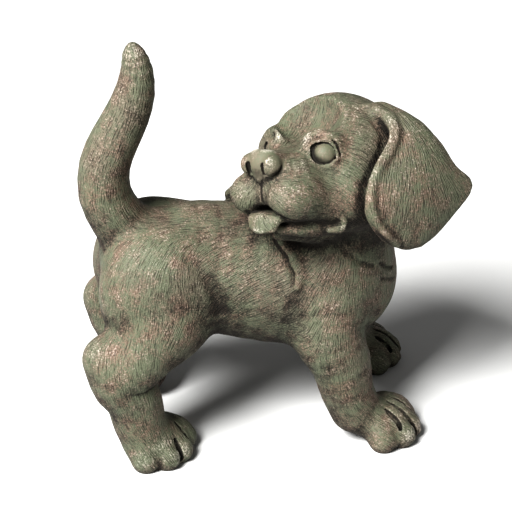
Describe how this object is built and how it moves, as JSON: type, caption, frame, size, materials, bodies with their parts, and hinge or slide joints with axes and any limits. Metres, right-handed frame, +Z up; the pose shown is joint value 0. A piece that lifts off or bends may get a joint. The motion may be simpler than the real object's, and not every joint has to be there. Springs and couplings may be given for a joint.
{
  "type": "dog statue",
  "caption": "Puppy cast in iron that stands on splayed legs with its tail up, and looks back over its shoulder with its tongue out.",
  "frame": {"origin": "on the ground, under the middle of the figure's bounding box", "axes": "+X is the way the body faces, +Y its left side, +Z up from the ground to the tip of the tail"},
  "size_m": [0.322, 0.193, 0.36],
  "materials": {
    "iron": "matt, weathered: a grey-green patina with rust-pink patches and worn pale edges"
  },
  "bodies": {
    "root": {"puppy": "iron"}
  },
  "joints": []
}
